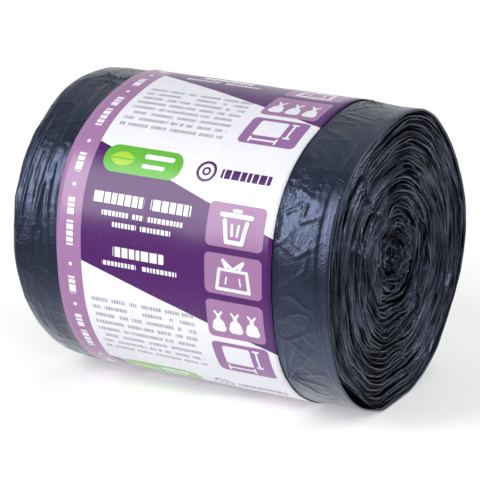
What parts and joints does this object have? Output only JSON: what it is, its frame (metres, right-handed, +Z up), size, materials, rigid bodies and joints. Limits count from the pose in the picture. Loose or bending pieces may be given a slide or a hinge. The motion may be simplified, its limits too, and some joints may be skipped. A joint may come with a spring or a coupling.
{
  "type": "bin bag roll",
  "caption": "Coreless roll of dark folded bin bags lying on its side, with its wound turns showing at both ends, held closed by a wide printed paper band.",
  "frame": {"origin": "middle of the small flat spot that the roll rests on", "axes": "+X along the roll towards the end with the loose outer wrap, +Z up, -Y towards the side that the picture shows"},
  "size_m": [0.1248, 0.1059, 0.1045],
  "materials": {
    "bag_film": "soft wrinkled sheen",
    "band_paper": "smooth coated paper, printed"
  },
  "bodies": {
    "root": {"bag_roll": "bag_film", "paper_band": "band_paper"}
  },
  "joints": []
}
